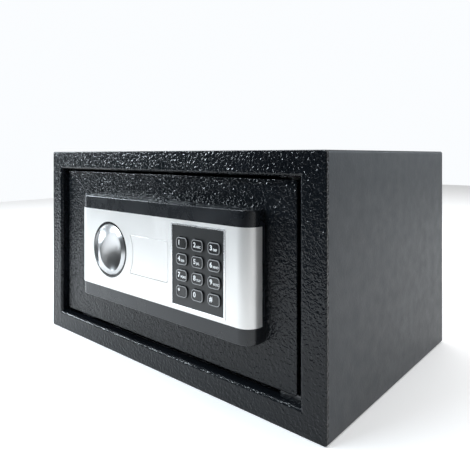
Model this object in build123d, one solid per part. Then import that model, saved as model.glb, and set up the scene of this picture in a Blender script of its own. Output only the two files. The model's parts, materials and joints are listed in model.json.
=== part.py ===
"""In-room safe: steel body, recessed door with a keypad panel, turn knob, live bolts and emergency lock.

Origin: centre of the body's flat bottom, X to the right, Y to the back, Z up. The front frame's face is at
Y = -BODY_D / 2. Sizes are in millimetres.
"""

from build123d import *
import math
import os

# ---------------------------------------------------------------- body
BODY_W = 360.0
BODY_H = 200.0
BODY_D = 240.0
SHEET = 2.0
FRAME_T = 3.0
LIP = 19.0
HINGE_LIP = 21.5
RETURN_T = 2.0
RETURN_D = 10.0
LONG_EDGE_R = 2.0
FRONT_EDGE_R = 0.8
FOLD_R = 2.8
ANCHOR_R = 5.0
ANCHOR_SPACING = 200.0
MAT_T = 3.0
MAT_GAP = 1.0
MAT_HOLE_R = 9.0

# ---------------------------------------------------------------- door
DOOR_T = 4.0
DOOR_RECESS = 6.0
GAP_LATCH = 5.5
GAP_HINGE = 6.0
GAP_TOP = 2.5
GAP_BOTTOM = 4.0

# ---------------------------------------------------------------- clearances and joins
FIT = 0.3
RUNNING = 0.05
MELD = 0.5

# ---------------------------------------------------------------- hinge
HINGE_INSET = 7.0
HINGE_BEHIND = 6.0
HINGE_PIN_R = 3.0
LUG_W = 14.0
LUG_H = 12.0
LUG_DROP = 2.0
BRACKET_W = 20.0
BRACKET_D = 15.0
BRACKET_T = 4.0
BRACKET_GAP = 1.0
BRACKET_LEG_T = 3.0

# ---------------------------------------------------------------- control panel
PANEL_W = 226.5
PANEL_H = 100.5
PANEL_D = 18.0
PANEL_SPARE_LEFT = 53.0
PANEL_SPARE_RIGHT = 28.5
PANEL_RAISE = 5.25
PANEL_END_R = 12.0
PANEL_EDGE_R = 1.0
PANEL_WALL = 2.5
PANEL_SCREW_INSET = 12.0
SCREW_R = 1.5
SCREW_HEAD_R = 3.0
SCREW_HEAD_T = 2.0
BOSS_R = 4.0
PLATE_H = 75.0
PLATE_T = 1.2
PLATE_PROUD = 0.4
PLATE_END_GAP = 4.0

# ---------------------------------------------------------------- keypad
KEYPAD_W = 61.0
KEYPAD_H = 69.0
KEYPAD_RIGHT = 28.25
TRIM_W = 1.4
TRIM_PROUD = 0.8
FASCIA_T = 1.0
KEY_W = 13.2
KEY_H = 9.8
KEY_CORNER_R = 3.4
KEY_PROUD = 1.4
KEY_TRAVEL = 1.0
KEY_PITCH_X = 18.2
KEY_PITCH_Z = 13.3
KEY_FLANGE = 0.8
KEY_FLANGE_T = 1.0
KEY_TOP_MARGIN = 15.8
KEY_SHIFT = 1.2
KEY_EDGE_R = 0.6
MAT_DOME_R = 3.0
DOME_H = 1.2
DOME_GAP = 0.1
RUBBER_T = 1.0
BOARD_T = 1.6
LED_R = 1.5
LED_PITCH = 7.0
LED_MARGIN = 6.0
BUZZER_R = 6.0
BUZZER_T = 5.0
LEAD_R = 2.0
GROMMET_R = 5.0
GROMMET_LIP = 1.5
GROMMET_LIP_T = 1.0

# ---------------------------------------------------------------- knob and spindle
KNOB_LEFT = 60.75
KNOB_R = 24.5
KNOB_RISE = 12.0
KNOB_DEEP = 7.4
KNOB_RIM = 2.5
BLADE_HALF = 1.5
SCOOP_HALF_W = 14.0
SCOOP_HALF_H = 24.0
SCOOP_DEPTH = 2.0
RING_W = 2.0
RING_FLOOR_T = 1.5
SPINDLE_R = 5.0
SPINDLE_IN_KNOB = 4.5
CRANK_R = 17.0
CRANK_T = 4.0
CRANK_GAP = 2.0
DRIVE_PIN_R = 2.5
DRIVE_PIN_OUT = 14.0
KNOB_TURN = 80.0
CLIP_R = 8.0
CLIP_T = 1.0

# ---------------------------------------------------------------- bolts and carriage
BOLT_R = 6.0
BOLT_CHAMFER = 1.0
BOLT_RISE = 36.0
BOLT_BACK = 11.0
BOLT_TIP_INSET = 3.5
BOLT_TAIL_R = 3.0
NUT_AF = 10.0
NUT_T = 4.0
NUT_ROOM = 5.0
GUIDE_T = 3.0
GUIDE_INSET = 9.5
GUIDE_D = 20.0
GUIDE_FOOT = 6.0
GUIDE_FOOT_T = 2.0
GUIDE_RIM = 4.0
CARRIAGE_T = 2.5
CARRIAGE_GAP = 2.0
CARRIAGE_HALF_H = 43.5
CARRIAGE_SPARE = 13.0
CARRIAGE_RIGHT = 24.0
FLANGE_T = 2.5
FLANGE_D = 16.0
ARM_LOW = 14.5
ARM_HIGH = 24.5
NOTCH_DEPTH = 4.5
PIN_SLOT_SPARE = 0.45
SLOT_WEB = 5.0
POST_R = 4.0
POST_RIGHT = 27.0
POST_RISE = 32.0
SHOULDER_R = 2.5
HEAD_R = 5.0
STRIP_T = 2.0
STRIP_W = 12.0

# ---------------------------------------------------------------- solenoid and emergency lock
LOCK_RIGHT = 1.25
LOCK_R = 9.5
LOCK_FLANGE_R = 11.0
LOCK_FLANGE_T = 1.5
LOCK_SINK = 5.0
LOCK_TAIL = 7.5
ROTOR_R = 6.5
KEYHOLE_W = 1.6
KEYHOLE_H = 8.0
KEYHOLE_DEEP = 12.0
LOCK_NUT_AF = 24.0
LOCK_NUT_T = 3.0
LOCK_HOLE_GAP = 0.2
CAM_REACH = 32.1
CAM_W = 10.0
CAM_T = 2.5
CAM_SQUARE = 6.0
CAM_GAP = 5.6
PLUNGER_R = 3.5
PLUNGER_LEN = 30.3
COLLAR_R = 7.0
COLLAR_T = 2.0
COLLAR_UP = 3.0
TIP_GAP = 1.0
SOLENOID_W = 22.0
SOLENOID_D = 20.0
SOLENOID_H = 28.0
SOLENOID_WALL = 2.0
SOLENOID_UP = 12.0
COIL_R = 7.0
SPRING_R = 4.7
SPRING_WIRE_R = 0.35
SPRING_TURNS = 4
COVER_W = 48.0
COVER_H = 35.0
COVER_RIM_R = 36.5
COVER_RIGHT = 23.75
COVER_CORNER_R = 3.0
COVER_EDGE_R = 0.3
COVER_LEDGE = 3.0
COVER_WAIST = 6.0
COVER_LEG_W = 10.0
COVER_LEG_T = 1.5
COVER_LEG_L = 4.0

# ---------------------------------------------------------------- lock case inside the door
CASE_T = 1.5
CASE_D = 36.0
CASE_CORNER_R = 3.0
CASE_EDGE_R = 1.2
CASE_LEFT_INSET = 20.0
CASE_RIGHT_INSET = 21.0
CASE_END_INSET = 6.0
CASE_POST_R = 3.5
CASE_POST_INSET = 7.0
CELL_R = 7.25
CELL_L = 50.5
CELL_NUB_R = 2.75
CELL_NUB_L = 1.2
CELL_PITCH = 15.0
CELLS = 4
CONTACT_R = 3.0
CONTACT_L = 3.25
CONTACT_PLATE_T = 0.5
TRAY_WALL = 1.5
TRAY_D = 20.4
TRAY_POST_GAP = 1.0
COVER_LAP = 1.5
BATTERY_COVER_T = 1.5
BATTERY_COVER_R = 3.0
GRIP_T = 1.5
GRIPS = 3
GRIP_PITCH = 3.0
GRIP_DOWN = 10.0
GRIP_RIB = 1.2
GRIP_HALF_W = 12.0
CATCH_W = 12.0
CATCH_T = 1.0
MAIN_BOARD_W = 76.0
MAIN_BOARD_H = 84.0
MAIN_BOARD_UP = 6.0
BOARD_CHIPS = [(-20, 20, 16, 12, 3), (5, 24, 10, 10, 2), (22, -22, 12, 16, 4), (-18, -20, 8, 14, 3)]
RESET_R = 3.5
RESET_L = 8.0
RESET_PROUD = 1.0
RESET_RIGHT = 24.0
RESET_DOWN = 45.0

# ---------------------------------------------------------------- worked out from the values above
FRONT = -BODY_D / 2
OPEN_X0 = -BODY_W / 2 + LIP
OPEN_X1 = BODY_W / 2 - HINGE_LIP
OPEN_LOW = LIP
OPEN_HIGH = BODY_H - LIP
DOOR_X0 = OPEN_X0 + GAP_LATCH
DOOR_X1 = OPEN_X1 - GAP_HINGE
DOOR_Z0 = OPEN_LOW + GAP_BOTTOM
DOOR_Z1 = OPEN_HIGH - GAP_TOP
DOOR_FACE = FRONT + DOOR_RECESS
DOOR_BACK = DOOR_FACE + DOOR_T
HINGE_X = DOOR_X1 - HINGE_INSET
HINGE_Y = DOOR_BACK + HINGE_BEHIND
MID_Z = BODY_H / 2 + PANEL_RAISE
PANEL_SPARE = DOOR_X1 - DOOR_X0 - PANEL_W
PANEL_X0 = DOOR_X0 + PANEL_SPARE * PANEL_SPARE_LEFT / (PANEL_SPARE_LEFT + PANEL_SPARE_RIGHT)
PANEL_X1 = PANEL_X0 + PANEL_W
PANEL_CX = (PANEL_X0 + PANEL_X1) / 2
PANEL_FRONT = DOOR_FACE - PANEL_D
REBATE = PLATE_T - PLATE_PROUD
SEAT_Y = PANEL_FRONT + REBATE
WALL_BACK = PANEL_FRONT + PANEL_WALL
PLATE_FRONT = PANEL_FRONT - PLATE_PROUD
KNOB_X = PANEL_CX - KNOB_LEFT
LOCK_X = PANEL_CX + LOCK_RIGHT
KEYPAD_X0 = PANEL_CX + KEYPAD_RIGHT
KEYPAD_X1 = KEYPAD_X0 + KEYPAD_W
KEYPAD_Z1 = MID_Z + KEYPAD_H / 2
KEY_MID_X = (KEYPAD_X0 + KEYPAD_X1) / 2 + KEY_SHIFT
KEY_XS = [KEY_MID_X + KEY_PITCH_X * (i - 1) for i in range(3)]
KEY_ZS = [KEYPAD_Z1 - KEY_TOP_MARGIN - KEY_PITCH_Z * j for j in range(4)]
BOLT_Y = DOOR_BACK + BOLT_BACK
BOLT_TRAVEL = 2 * DRIVE_PIN_OUT * math.sin(math.radians(KNOB_TURN / 2))
BOLT_TIP_X = DOOR_X0 + BOLT_TIP_INSET
GUIDE_X0 = DOOR_X0 + GUIDE_INSET
FLANGE_X0 = GUIDE_X0 + GUIDE_T + BOLT_TRAVEL + CARRIAGE_SPARE
POST_X = FLANGE_X0 + POST_RIGHT
CARRIAGE_X1 = max(KNOB_X + CARRIAGE_RIGHT, POST_X + BOLT_TRAVEL + SHOULDER_R + SLOT_WEB)
CRANK_Y0 = DOOR_BACK + CRANK_GAP
CRANK_Y1 = CRANK_Y0 + CRANK_T
CARRIAGE_Y0 = CRANK_Y1 + CARRIAGE_GAP
CARRIAGE_Y1 = CARRIAGE_Y0 + CARRIAGE_T
PLUNGER_Y = (CARRIAGE_Y0 + CARRIAGE_Y1) / 2
ARM_TOP = MID_Z + ARM_HIGH
LOCK_FACE = SEAT_Y + LOCK_SINK
CAM_Y0 = DOOR_BACK + LOCK_TAIL + CAM_GAP
CAM_Y1 = CAM_Y0 + CAM_T
CASE_X0 = DOOR_X0 + CASE_LEFT_INSET
CASE_X1 = DOOR_X1 - CASE_RIGHT_INSET
CASE_Z0 = DOOR_Z0 + CASE_END_INSET
CASE_Z1 = DOOR_Z1 - CASE_END_INSET
CASE_BACK = DOOR_BACK + CASE_D
TRAY_HALF_W = CELL_L / 2 + CONTACT_L + CONTACT_PLATE_T
TRAY_CX = CASE_X1 - CASE_POST_INSET - CASE_POST_R - TRAY_POST_GAP - TRAY_WALL - TRAY_HALF_W
TRAY_HALF_H = CELLS * CELL_PITCH / 2 + TRAY_WALL / 4
RESET_X = PANEL_CX + RESET_RIGHT
RESET_Z = MID_Z - RESET_DOWN

os.makedirs("parts", exist_ok=True)


# ---------------------------------------------------------------- shape helpers
def block(x0, x1, y0, y1, z0, z1):
    """A box between two corners."""
    return Pos((x0 + x1) / 2, (y0 + y1) / 2, (z0 + z1) / 2) * Box(x1 - x0, y1 - y0, z1 - z0)


def rod_x(y, z, x0, x1, r):
    return Pos((x0 + x1) / 2, y, z) * Rot(0, 90, 0) * Cylinder(r, x1 - x0)


def rod_y(x, z, y0, y1, r):
    return Pos(x, (y0 + y1) / 2, z) * Rot(90, 0, 0) * Cylinder(r, y1 - y0)


def rod_z(x, y, z0, z1, r):
    return Pos(x, y, (z0 + z1) / 2) * Cylinder(r, z1 - z0)


def outline_y(face, x, z, y0, y1):
    """A sketch drawn in X and Z, extruded from y0 back to y1."""
    return extrude(Plane(origin=(x, y0, z), x_dir=(1, 0, 0), z_dir=(0, -1, 0)) * face, -(y1 - y0))


def rounded(x, z, w, h, r, y0, y1):
    """A rounded rectangle in the XZ plane, extruded along Y."""
    return outline_y(RectangleRounded(w, h, r), x, z, y0, y1)


def hexagon_y(x, z, af, y0, y1):
    return outline_y(RegularPolygon(af / math.sqrt(3), 6), x, z, y0, y1)


def save(node, shape):
    """Writes one named sub-part, a single solid or a group of separate solids."""
    solids = shape.solids() if not isinstance(shape, list) else [s for part in shape for s in part.solids()]
    whole = solids[0] if len(solids) == 1 else Compound(children=solids)
    export_step(whole, f"parts/{node}.step")


# ---------------------------------------------------------------- body
def body_outline(y0, y1, inset):
    """The body's rounded outline, or the same outline drawn inwards, extruded along Y."""
    r = max(LONG_EDGE_R - inset, 0.2)
    return rounded(0, BODY_H / 2, BODY_W - 2 * inset, BODY_H - 2 * inset, r, y0, y1)


def front_frame():
    ring = body_outline(FRONT, FRONT + FRAME_T, 0)
    ring = fillet(ring.faces().sort_by(Axis.Y)[0].edges(), FRONT_EDGE_R)
    back = FRONT + RETURN_D
    ring += block(OPEN_X0 - RETURN_T, OPEN_X1 + RETURN_T, FRONT + FRAME_T, back,
                  OPEN_LOW - RETURN_T, OPEN_HIGH + RETURN_T)
    ring -= block(OPEN_X0, OPEN_X1, FRONT - 1, back + 1, OPEN_LOW, OPEN_HIGH)
    front_edges = ring.edges().filter_by(lambda e: abs(e.center().Y - FRONT) < 0.01)
    inner = front_edges.filter_by(lambda e: OPEN_X0 - 1 < e.center().X < OPEN_X1 + 1)
    inner = inner.filter_by(lambda e: OPEN_LOW - 1 < e.center().Z < OPEN_HIGH + 1)
    return fillet(inner, FOLD_R)


def anchor_xs():
    return [-ANCHOR_SPACING / 2, ANCHOR_SPACING / 2]


def body_wrap():
    wrap = body_outline(FRONT + FRAME_T, -FRONT, 0) - body_outline(FRONT, -FRONT + 1, SHEET)
    for x in anchor_xs():
        wrap -= rod_z(x, 0, -1, SHEET + 1, ANCHOR_R)
    return wrap


def rear_panel():
    panel = body_outline(-FRONT - SHEET, -FRONT, SHEET)
    for x in anchor_xs():
        panel -= rod_y(x, BODY_H / 2, -FRONT - SHEET - 1, -FRONT + 1, ANCHOR_R)
    return panel


def floor_mat():
    x = BODY_W / 2 - SHEET - MAT_GAP
    front = FRONT + RETURN_D + BRACKET_D + MAT_GAP
    mat = block(-x, x, front, -FRONT - SHEET - MAT_GAP, SHEET, SHEET + MAT_T)
    for x in anchor_xs():
        mat -= rod_z(x, 0, SHEET - 1, SHEET + MAT_T + 1, MAT_HOLE_R)
    return mat


def hinge_bracket(up):
    """An L bracket: up is 1 for the top of the opening and -1 for the bottom."""
    near = DOOR_Z1 + BRACKET_GAP if up > 0 else DOOR_Z0 - BRACKET_GAP
    far = near + up * BRACKET_T
    wall = BODY_H - SHEET if up > 0 else SHEET
    x0, x1 = HINGE_X - BRACKET_W / 2, HINGE_X + BRACKET_W / 2
    y0, y1 = FRONT + RETURN_D, FRONT + RETURN_D + BRACKET_D
    plate = block(x0, x1, y0, y1, min(near, far), max(near, far))
    leg = block(x0, x1, y1 - BRACKET_LEG_T, y1, min(far, wall), max(far, wall))
    bore = rod_z(HINGE_X, HINGE_Y, min(near, far) - 1, max(near, far) + 1, HINGE_PIN_R + RUNNING)
    return plate + leg - bore


def latch_strip():
    x0 = OPEN_X0 - RETURN_T
    y0 = FRONT + RETURN_D
    return block(x0 - STRIP_W, x0, y0, y0 + STRIP_T, OPEN_LOW, OPEN_HIGH)


# ---------------------------------------------------------------- door and hinge
def panel_screw_spots():
    xs = [PANEL_X0 + PANEL_SCREW_INSET, PANEL_X1 - PANEL_SCREW_INSET]
    z = PANEL_H / 2 - PANEL_SCREW_INSET / 2
    return [(x, MID_Z + s * z) for x in xs for s in (-1, 1)]


def case_post_spots():
    xs = [CASE_X0 + CASE_POST_INSET, CASE_X1 - CASE_POST_INSET]
    zs = [CASE_Z0 + CASE_POST_INSET, CASE_Z1 - CASE_POST_INSET]
    return [(x, z) for x in xs for z in zs]


def lead_spot():
    return KEY_XS[1], KEY_ZS[3]


def door_plate():
    plate = block(DOOR_X0, DOOR_X1, DOOR_FACE, DOOR_BACK, DOOR_Z0, DOOR_Z1)
    plate = fillet(plate.edges().filter_by(Axis.Y), LONG_EDGE_R)
    plate = fillet(plate.faces().sort_by(Axis.Y)[0].edges(), FRONT_EDGE_R)
    lead_x, lead_z = lead_spot()
    holes = [(KNOB_X, MID_Z, SPINDLE_R + RUNNING), (LOCK_X, MID_Z, LOCK_R + LOCK_HOLE_GAP),
             (lead_x, lead_z, GROMMET_R)]
    holes += [(x, z, SCREW_R) for x, z in panel_screw_spots()]
    for x, z, r in holes:
        plate -= rod_y(x, z, DOOR_FACE - 1, DOOR_BACK + 1, r)
    return plate


def lug_span(up):
    edge = DOOR_Z1 - LUG_DROP if up > 0 else DOOR_Z0 + LUG_DROP
    return sorted((edge, edge - up * LUG_H))


def hinge_lug(up):
    z0, z1 = lug_span(up)
    y1 = HINGE_Y + HINGE_BEHIND
    lug = block(HINGE_X - LUG_W / 2, HINGE_X + LUG_W / 2, DOOR_BACK, y1, z0, z1)
    return lug - rod_z(HINGE_X, HINGE_Y, z0 - 1, z1 + 1, HINGE_PIN_R)


def hinge_pin(up):
    z0, z1 = lug_span(up)
    reach = LUG_DROP + BRACKET_GAP + BRACKET_T
    if up > 0:
        return rod_z(HINGE_X, HINGE_Y, z0, z1 + reach, HINGE_PIN_R)
    return rod_z(HINGE_X, HINGE_Y, z0 - reach, z1, HINGE_PIN_R)


# ---------------------------------------------------------------- control panel
def panel_solid(grow, z0, z1, back):
    """The panel's outer form with rounded ends, grown or shrunk all round, between two heights."""
    x0, x1, front = PANEL_X0 - grow, PANEL_X1 + grow, PANEL_FRONT - grow
    solid = block(x0, x1, front, back, z0, z1)
    ends = solid.edges().filter_by(Axis.Z).filter_by(lambda e: e.center().Y < (front + back) / 2)
    return fillet(ends, PANEL_END_R + grow)


def cover_outline(grow, y0, y1):
    """The emergency-lock cover: a rounded rectangle whose left side is concentric with the knob."""
    x1 = PANEL_CX + COVER_RIGHT + grow
    w, h = COVER_W + 2 * COVER_WAIST + 2 * grow, COVER_H + 2 * grow
    shape = rounded(x1 - w / 2, MID_Z, w, h, COVER_CORNER_R, y0, y1)
    return shape - rod_y(KNOB_X, MID_Z, y0 - 1, y1 + 1, COVER_RIM_R - grow)


def keypad_block(grow, y0, y1):
    x, z = (KEYPAD_X0 + KEYPAD_X1) / 2, MID_Z
    return block(x - KEYPAD_W / 2 - grow, x + KEYPAD_W / 2 + grow, y0, y1,
                 z - KEYPAD_H / 2 - grow, z + KEYPAD_H / 2 + grow)


def plate_band(grow_out, grow_in):
    """The band round the panel where the face plate lies."""
    z0, z1 = MID_Z - PLATE_H / 2, MID_Z + PLATE_H / 2
    stop = DOOR_FACE - PLATE_END_GAP
    outer = panel_solid(grow_out, z0, z1, stop)
    inner = panel_solid(grow_in, z0 - 1, z1 + 1, stop + 1)
    return outer - inner


def key_bounds():
    half_w = KEY_W / 2 + KEY_FLANGE + FIT
    half_h = KEY_H / 2 + KEY_FLANGE + FIT
    return KEY_XS[0] - half_w, KEY_XS[2] + half_w, KEY_ZS[3] - half_h, KEY_ZS[0] + half_h


def led_spots():
    z = KEYPAD_Z1 - LED_MARGIN
    return [(KEY_XS[1] + LED_PITCH * i, z) for i in (-1, 0, 1)]


def panel_housing():
    z0, z1 = MID_Z - PANEL_H / 2, MID_Z + PANEL_H / 2
    housing = panel_solid(0, z0, z1, DOOR_FACE)
    rims = housing.edges().filter_by(lambda e: e.center().Y < DOOR_FACE - 1 and abs(e.center().Z - MID_Z) > 1)
    housing = fillet(rims, PANEL_EDGE_R)
    housing -= panel_solid(-PANEL_WALL, z0 + PANEL_WALL, z1 - PANEL_WALL, DOOR_FACE + 1)
    for x, z in panel_screw_spots():
        housing += rod_y(x, z, WALL_BACK - 0.5, DOOR_FACE, BOSS_R)
        housing -= rod_y(x, z, WALL_BACK + 1.5, DOOR_FACE + 1, SCREW_R)
    housing -= plate_band(PANEL_WALL, -REBATE)
    housing -= rod_y(KNOB_X, MID_Z, PANEL_FRONT - 1, WALL_BACK + 1, KNOB_R + FIT + RING_W)
    hatch_w = COVER_W - 2 * COVER_LEDGE - COVER_WAIST
    hatch_x = PANEL_CX + COVER_RIGHT - COVER_LEDGE - hatch_w / 2
    housing -= rounded(hatch_x, MID_Z, hatch_w, COVER_H - 2 * COVER_LEDGE, COVER_CORNER_R,
                       PANEL_FRONT - 1, WALL_BACK + 1)
    x0, x1, k0, k1 = key_bounds()
    housing -= block(x0, x1, PANEL_FRONT - 1, WALL_BACK + 1, k0, k1)
    leds = led_spots()
    housing -= block(leds[0][0] - LED_R - FIT, leds[2][0] + LED_R + FIT, PANEL_FRONT - 1, WALL_BACK + 1,
                     leds[0][1] - LED_R - FIT, leds[0][1] + LED_R + FIT)
    return housing


def face_plate():
    plate = plate_band(PLATE_PROUD, -REBATE)
    plate -= rod_y(KNOB_X, MID_Z, PLATE_FRONT - 1, SEAT_Y + 1, KNOB_R + FIT + RING_W)
    plate -= cover_outline(FIT, PLATE_FRONT - 1, SEAT_Y + 1)
    return plate - keypad_block(0, PLATE_FRONT - 1, SEAT_Y + 1)


def knob_ring():
    """A black cup that the knob turns in."""
    bore = KNOB_R + FIT
    floor = PANEL_FRONT + KNOB_DEEP + FIT
    cup = rod_y(KNOB_X, MID_Z, PLATE_FRONT, floor + RING_FLOOR_T, bore + RING_W)
    cup -= rod_y(KNOB_X, MID_Z, PLATE_FRONT - 1, floor, bore)
    return cup - rod_y(KNOB_X, MID_Z, floor - 1, floor + RING_FLOOR_T + 1, SPINDLE_R + FIT)


# ---------------------------------------------------------------- keypad
def keypad_trim():
    front = PLATE_FRONT - TRIM_PROUD + PLATE_PROUD
    trim = keypad_block(0, front, SEAT_Y)
    return trim - keypad_block(-TRIM_W, front - 1, SEAT_Y + 1)


def keypad_fascia():
    fascia = keypad_block(-TRIM_W, SEAT_Y - FASCIA_T, SEAT_Y)
    for x in KEY_XS:
        for z in KEY_ZS:
            fascia -= rounded(x, z, KEY_W + 2 * FIT, KEY_H + 2 * FIT, KEY_CORNER_R + FIT,
                              SEAT_Y - FASCIA_T - 1, SEAT_Y + 1)
    return fascia


def key(x, z):
    front = PLATE_FRONT - KEY_PROUD + PLATE_PROUD
    step = SEAT_Y + FIT
    cap = rounded(x, z, KEY_W, KEY_H, KEY_CORNER_R, front, step)
    cap = fillet(cap.faces().sort_by(Axis.Y)[0].edges(), KEY_EDGE_R)
    return cap + rounded(x, z, KEY_W + 2 * KEY_FLANGE, KEY_H + 2 * KEY_FLANGE, KEY_CORNER_R,
                         step, step + KEY_FLANGE_T)


def keypad_levels():
    """Heights behind the keys: dome tops, sheet front, sheet back."""
    dome = SEAT_Y + FIT + KEY_FLANGE_T + KEY_TRAVEL + DOME_GAP
    sheet = dome + DOME_H
    return dome, sheet, sheet + RUBBER_T


def dome_mat():
    dome, front, back = keypad_levels()
    x0, x1, z0, z1 = key_bounds()
    mat = block(x0, x1, front, back, z0, z1)
    for x in KEY_XS:
        for z in KEY_ZS:
            mat += rod_y(x, z, dome, front, MAT_DOME_R)
    return mat


def keypad_board():
    board_y = keypad_levels()[2]
    return keypad_block(-TRIM_W, board_y, board_y + BOARD_T)


def indicator_leds():
    board_y = keypad_levels()[2]
    return [rod_y(x, z, SEAT_Y + FIT, board_y, LED_R) for x, z in led_spots()]


def buzzer():
    y0 = keypad_levels()[2] + BOARD_T
    return rod_y(KEY_XS[1], KEY_ZS[1], y0, y0 + BUZZER_T, BUZZER_R)


def keypad_lead():
    x, z = lead_spot()
    return rod_y(x, z, keypad_levels()[2] + BOARD_T, main_board_y(), LEAD_R)


def lead_grommet():
    x, z = lead_spot()
    ring = rod_y(x, z, DOOR_FACE, DOOR_BACK, GROMMET_R)
    ring += rod_y(x, z, DOOR_BACK, DOOR_BACK + GROMMET_LIP_T, GROMMET_R + GROMMET_LIP)
    return ring - rod_y(x, z, DOOR_FACE - 1, DOOR_BACK + 2, LEAD_R)


# ---------------------------------------------------------------- knob group
def knob():
    rim = PANEL_FRONT
    crest = KNOB_RISE
    ball_r = (KNOB_R**2 + crest**2) / (2 * crest)
    body = rod_y(KNOB_X, MID_Z, rim - crest - 1, rim + KNOB_DEEP, KNOB_R)
    body &= Pos(KNOB_X, rim - crest + ball_r, MID_Z) * Sphere(ball_r)
    bowl = rod_y(KNOB_X, MID_Z, rim - crest - 2, rim + SCOOP_DEPTH + 1, KNOB_R - KNOB_RIM)
    scoop = scale(Sphere(1), by=(SCOOP_HALF_W, crest + SCOOP_DEPTH, SCOOP_HALF_H))
    for side in (-1, 1):
        spot = Pos(KNOB_X + side * (BLADE_HALF + SCOOP_HALF_W), rim - crest, MID_Z)
        body -= (spot * scoop) & bowl
    bore_end = rim + KNOB_DEEP
    return body - rod_y(KNOB_X, MID_Z, bore_end - SPINDLE_IN_KNOB, bore_end + 1, SPINDLE_R)


def knob_spindle():
    return rod_y(KNOB_X, MID_Z, PANEL_FRONT + KNOB_DEEP - SPINDLE_IN_KNOB, CRANK_Y1, SPINDLE_R)


def spindle_clip():
    y0 = DOOR_BACK + (CRANK_GAP - CLIP_T) / 2
    ring = rod_y(KNOB_X, MID_Z, y0, y0 + CLIP_T, CLIP_R)
    return ring - rod_y(KNOB_X, MID_Z, y0 - 1, y0 + CLIP_T + 1, SPINDLE_R)


def drive_pin_spot():
    """The pin's place with the bolts drawn back."""
    a = math.radians(KNOB_TURN / 2)
    return KNOB_X + DRIVE_PIN_OUT * math.sin(a), MID_Z + DRIVE_PIN_OUT * math.cos(a)


def crank():
    disc = rod_y(KNOB_X, MID_Z, CRANK_Y0, CRANK_Y1, CRANK_R)
    disc -= rod_y(KNOB_X, MID_Z, CRANK_Y0 - 1, CRANK_Y1 + 1, SPINDLE_R)
    x, z = drive_pin_spot()
    return disc + rod_y(x, z, CRANK_Y1 - 1, CARRIAGE_Y1 + 2, DRIVE_PIN_R)


# ---------------------------------------------------------------- bolt work
def bolt_heights():
    return [MID_Z - BOLT_RISE, MID_Z + BOLT_RISE]


def post_spots():
    return [(POST_X, MID_Z + s * POST_RISE) for s in (-1, 1)]


def bolt_carriage():
    """The plate that carries both bolts, with its slots, nut windows and latch notch."""
    plate = block(FLANGE_X0, CARRIAGE_X1, CARRIAGE_Y0, CARRIAGE_Y1,
                  MID_Z - CARRIAGE_HALF_H, MID_Z + CARRIAGE_HALF_H)
    arm_end = LOCK_X + BOLT_TRAVEL + PLUNGER_R + SLOT_WEB
    plate += block(CARRIAGE_X1 - 1, arm_end, CARRIAGE_Y0, CARRIAGE_Y1, MID_Z + ARM_LOW, ARM_TOP)
    plate -= block(LOCK_X + BOLT_TRAVEL - PLUNGER_R - FIT * 2, LOCK_X + BOLT_TRAVEL + PLUNGER_R + FIT * 2,
                   CARRIAGE_Y0 - 1, CARRIAGE_Y1 + 1, ARM_TOP - NOTCH_DEPTH, ARM_TOP + 1)
    pin_x, pin_z = drive_pin_spot()
    low, high = pin_z - DRIVE_PIN_R - FIT * 2, MID_Z + DRIVE_PIN_OUT + DRIVE_PIN_R + FIT * 2
    half = DRIVE_PIN_R + PIN_SLOT_SPARE
    plate -= block(pin_x - half, pin_x + half, CARRIAGE_Y0 - 1, CARRIAGE_Y1 + 1, low, high)
    for x, z in post_spots():
        slot_w = 2 * SHOULDER_R + 0.4
        plate -= rounded(x + BOLT_TRAVEL / 2, z, BOLT_TRAVEL + slot_w, slot_w, slot_w / 2 - 0.01,
                         CARRIAGE_Y0 - 1, CARRIAGE_Y1 + 1)
    for z in bolt_heights():
        x0 = FLANGE_X0 + FLANGE_T
        plate -= block(x0, x0 + NUT_T + NUT_ROOM, CARRIAGE_Y0 - 1, CARRIAGE_Y1 + 1, z - NUT_AF, z + NUT_AF)
    plate += block(FLANGE_X0, FLANGE_X0 + FLANGE_T, BOLT_Y - FLANGE_D / 2, BOLT_Y + FLANGE_D / 2,
                   MID_Z - CARRIAGE_HALF_H, MID_Z + CARRIAGE_HALF_H)
    for z in bolt_heights():
        plate -= rod_x(BOLT_Y, z, FLANGE_X0 - 1, FLANGE_X0 + FLANGE_T + 1, BOLT_TAIL_R)
    return plate


def live_bolt(z):
    bolt = rod_x(BOLT_Y, z, BOLT_TIP_X, FLANGE_X0, BOLT_R)
    bolt = chamfer(bolt.faces().sort_by(Axis.X)[0].edges(), BOLT_CHAMFER)
    return bolt + rod_x(BOLT_Y, z, FLANGE_X0 - 1, FLANGE_X0 + FLANGE_T + NUT_T + 1, BOLT_TAIL_R)


def bolt_nuts():
    x0 = FLANGE_X0 + FLANGE_T
    nuts = []
    for z in bolt_heights():
        nut = Pos(x0, BOLT_Y, z) * Rot(0, 90, 0) * extrude(RegularPolygon(NUT_AF / math.sqrt(3), 6), NUT_T)
        nuts.append(nut - rod_x(BOLT_Y, z, x0 - 1, x0 + NUT_T + 1, BOLT_TAIL_R))
    return nuts


def bolt_guide():
    half = BOLT_RISE + BOLT_R + GUIDE_RIM
    guide = block(GUIDE_X0, GUIDE_X0 + GUIDE_T, DOOR_BACK, DOOR_BACK + GUIDE_D, MID_Z - half, MID_Z + half)
    x1 = GUIDE_X0 + GUIDE_T
    guide += block(x1 - MELD, x1 + GUIDE_FOOT, DOOR_BACK, DOOR_BACK + GUIDE_FOOT_T,
                   MID_Z - half, MID_Z + half)
    for z in bolt_heights():
        guide -= rod_x(BOLT_Y, z, GUIDE_X0 - 1, GUIDE_X0 + GUIDE_T + 1, BOLT_R + RUNNING)
    return guide


def carriage_posts():
    posts = []
    for x, z in post_spots():
        post = rod_y(x, z, DOOR_BACK, CARRIAGE_Y0 - FIT, POST_R)
        posts.append(post - rod_y(x, z, DOOR_BACK + 1, CARRIAGE_Y0, SCREW_R))
    return posts


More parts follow.
